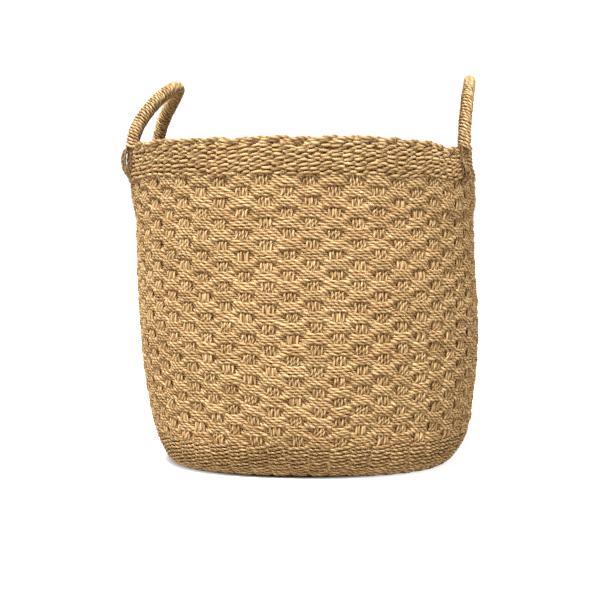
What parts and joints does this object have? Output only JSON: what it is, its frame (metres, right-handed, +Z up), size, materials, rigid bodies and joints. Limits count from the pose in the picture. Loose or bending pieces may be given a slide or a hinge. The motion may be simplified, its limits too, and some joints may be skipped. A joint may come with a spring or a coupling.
{
  "type": "storage basket",
  "caption": "Round woven seagrass storage basket with an open top, a rounded heel, a twined rim and a wrapped rope handle on each side that folds at the rim.",
  "frame": {"origin": "centre of the flat underside of the base mat, on the floor", "axes": "+Z up, +X from the left handle to the right handle, +Y to the back"},
  "size_m": [0.397, 0.3966, 0.4471],
  "materials": {
    "stake_grass": "dry twisted seagrass, matt",
    "weft_grass": "dry twisted seagrass, matt",
    "twined_grass": "dry twisted seagrass, matt",
    "wrapping_grass": "dry twisted seagrass, matt",
    "core_rope": "dry twisted seagrass, matt",
    "lashing_grass": "dry twisted seagrass, matt"
  },
  "bodies": {
    "basket": {"base_mat": "twined_grass", "stakes": "stake_grass", "heel_row_1": "twined_grass", "heel_row_2": "twined_grass", "heel_row_3": "twined_grass", "heel_row_4": "twined_grass", "heel_row_5": "twined_grass", "heel_row_6": "twined_grass", "heel_row_7": "twined_grass", "heel_row_8": "twined_grass", "heel_row_9": "twined_grass", "heel_row_10": "twined_grass", "heel_row_11": "twined_grass", "heel_row_12": "twined_grass", "weft_band_1": "weft_grass", "weft_band_2": "weft_grass", "weft_band_3": "weft_grass", "weft_band_4": "weft_grass", "weft_band_5": "weft_grass", "weft_band_6": "weft_grass", "weft_band_7": "weft_grass", "weft_band_8": "weft_grass", "weft_band_9": "weft_grass", "weft_band_10": "weft_grass", "weft_band_11": "weft_grass", "weft_band_12": "weft_grass", "weft_band_13": "weft_grass", "weft_band_14": "weft_grass", "weft_band_15": "weft_grass", "weft_band_16": "weft_grass", "weft_band_17": "weft_grass", "weft_band_18": "weft_grass", "weft_band_19": "weft_grass", "weft_band_20": "weft_grass", "weft_band_21": "weft_grass", "weft_band_22": "weft_grass", "weft_band_23": "weft_grass", "weft_band_24": "weft_grass", "weft_band_25": "weft_grass", "weft_band_26": "weft_grass", "rim_row_1": "twined_grass", "rim_row_2": "twined_grass", "rim_row_3": "twined_grass", "rim_row_4": "twined_grass", "rim_row_5": "twined_grass", "rim_row_6": "twined_grass", "rim_row_7": "twined_grass", "rim_border": "twined_grass", "left_handle_roots": "wrapping_grass", "right_handle_roots": "wrapping_grass", "left_lashings": "lashing_grass", "right_lashings": "lashing_grass"},
    "left_handle": {"left_handle_core": "core_rope", "left_handle_wrap": "wrapping_grass"},
    "right_handle": {"right_handle_core": "core_rope", "right_handle_wrap": "wrapping_grass"}
  },
  "joints": [
    {"name": "left_handle_tilt", "type": "hinge", "parent": "basket", "child": "left_handle", "pos_m": [-0.184, 0, 0.37], "axis": [0, 1, 0], "range_deg": [-73, 26]},
    {"name": "right_handle_tilt", "type": "hinge", "parent": "basket", "child": "right_handle", "pos_m": [0.184, 0, 0.37], "axis": [0, -1, 0], "range_deg": [-34, 66]}
  ]
}
